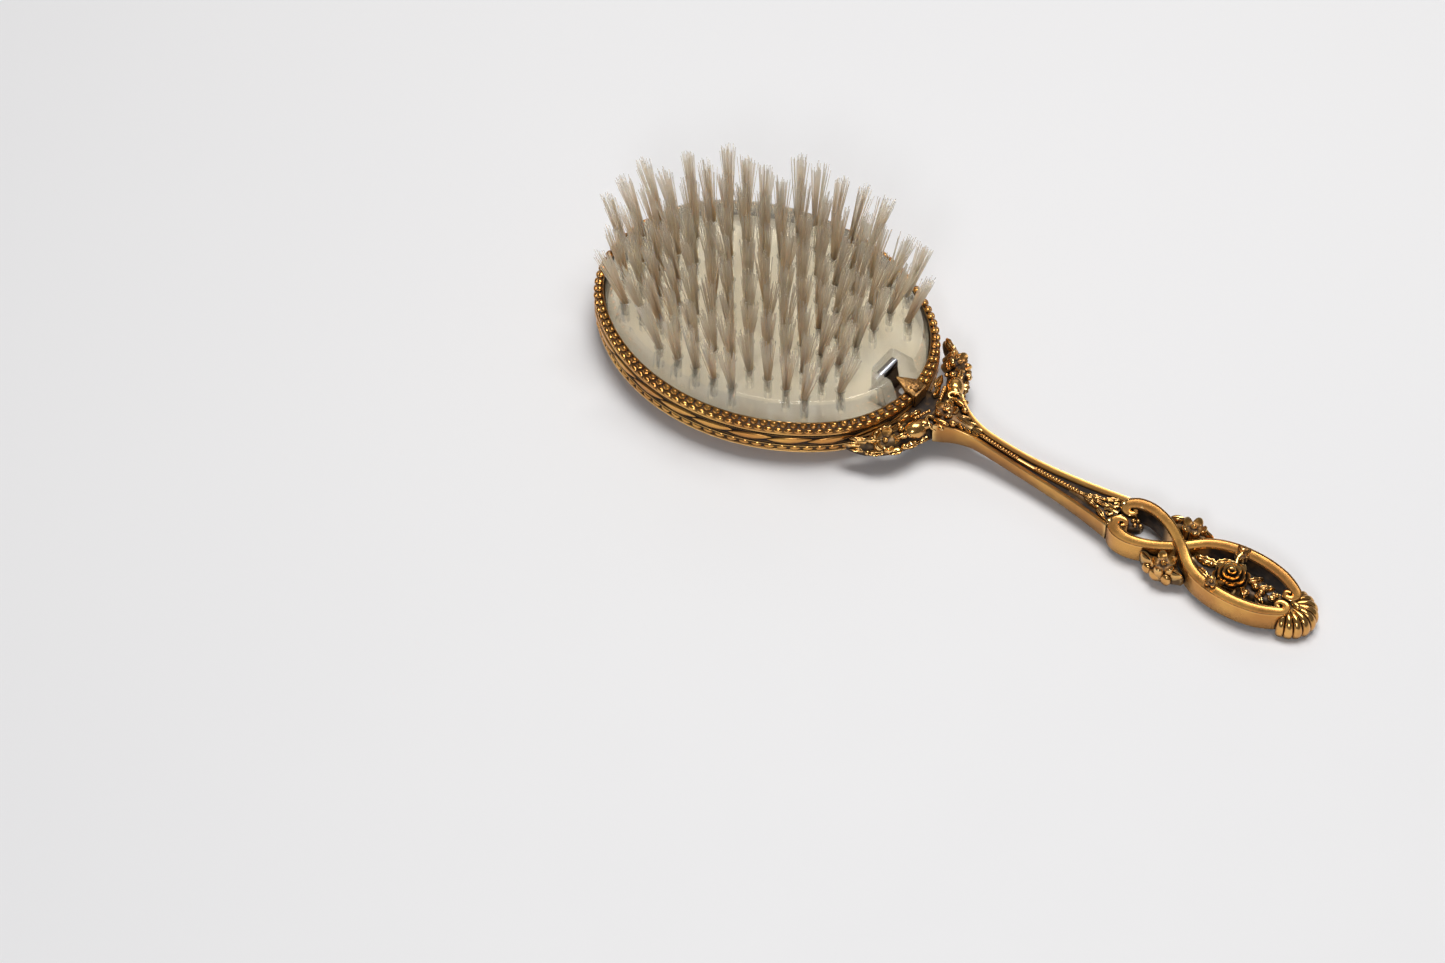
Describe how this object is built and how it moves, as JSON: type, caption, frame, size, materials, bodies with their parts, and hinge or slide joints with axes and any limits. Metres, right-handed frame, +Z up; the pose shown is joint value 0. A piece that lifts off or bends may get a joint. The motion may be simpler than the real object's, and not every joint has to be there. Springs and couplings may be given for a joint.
{
  "type": "vanity hairbrush",
  "caption": "Oval vanity hairbrush with a gilt rim, interlaced scroll handle and a lift-out clear base of nylon tufts held by a spring catch.",
  "frame": {"origin": "Middle of the flat on the back plate, under the centre of the oval head, on the surface that the brush lies on.", "axes": "+X along the handle to the shell tip, +Y across the brush, +Z up the way the bristles point."},
  "size_m": [0.2235, 0.0808, 0.0375],
  "materials": {
    "gilt_casting": "gold-plated casting, darkened in the recesses",
    "gilt_strip": "gold-plated stamped strip, darkened in the recesses",
    "gilt_stamping": "gold-plated stamping, satin",
    "plain_plate": "plain rolled sheet",
    "liner": "pale smooth card",
    "steel": "plain steel",
    "spring_steel": "bright plated spring strip",
    "clear_base": "clear moulded plastic, polished",
    "anchor_wire": "bright flat wire",
    "nylon": "translucent tan filaments"
  },
  "bodies": {
    "frame": {"handle": "gilt_casting", "rim_band": "gilt_strip", "joint_tab": "gilt_strip", "back_plate": "gilt_stamping", "seat_plate": "plain_plate", "liner_card": "liner", "yoke_screws": "steel", "catch_foot": "spring_steel", "catch_rivets": "steel"},
    "catch": {"catch_leaf": "spring_steel"},
    "insert": {"brush_base": "clear_base", "tuft_anchors": "anchor_wire", "tuft_row_1": "nylon", "tuft_row_2": "nylon", "tuft_row_3": "nylon", "tuft_row_4": "nylon", "tuft_row_5": "nylon", "tuft_row_6": "nylon", "tuft_row_7": "nylon", "tuft_row_8": "nylon", "tuft_row_9": "nylon"}
  },
  "joints": [
    {"name": "insert_lift", "type": "slide", "parent": "frame", "child": "insert", "axis": [0, 0, 1], "range_m": [0, 0.03]},
    {"name": "catch_press", "type": "hinge", "parent": "frame", "child": "catch", "pos_m": [0.0413, 0, 0.0064], "axis": [0, 1, 0], "range_deg": [0, 9], "stiffness_Nm_per_rad": 0.3}
  ]
}
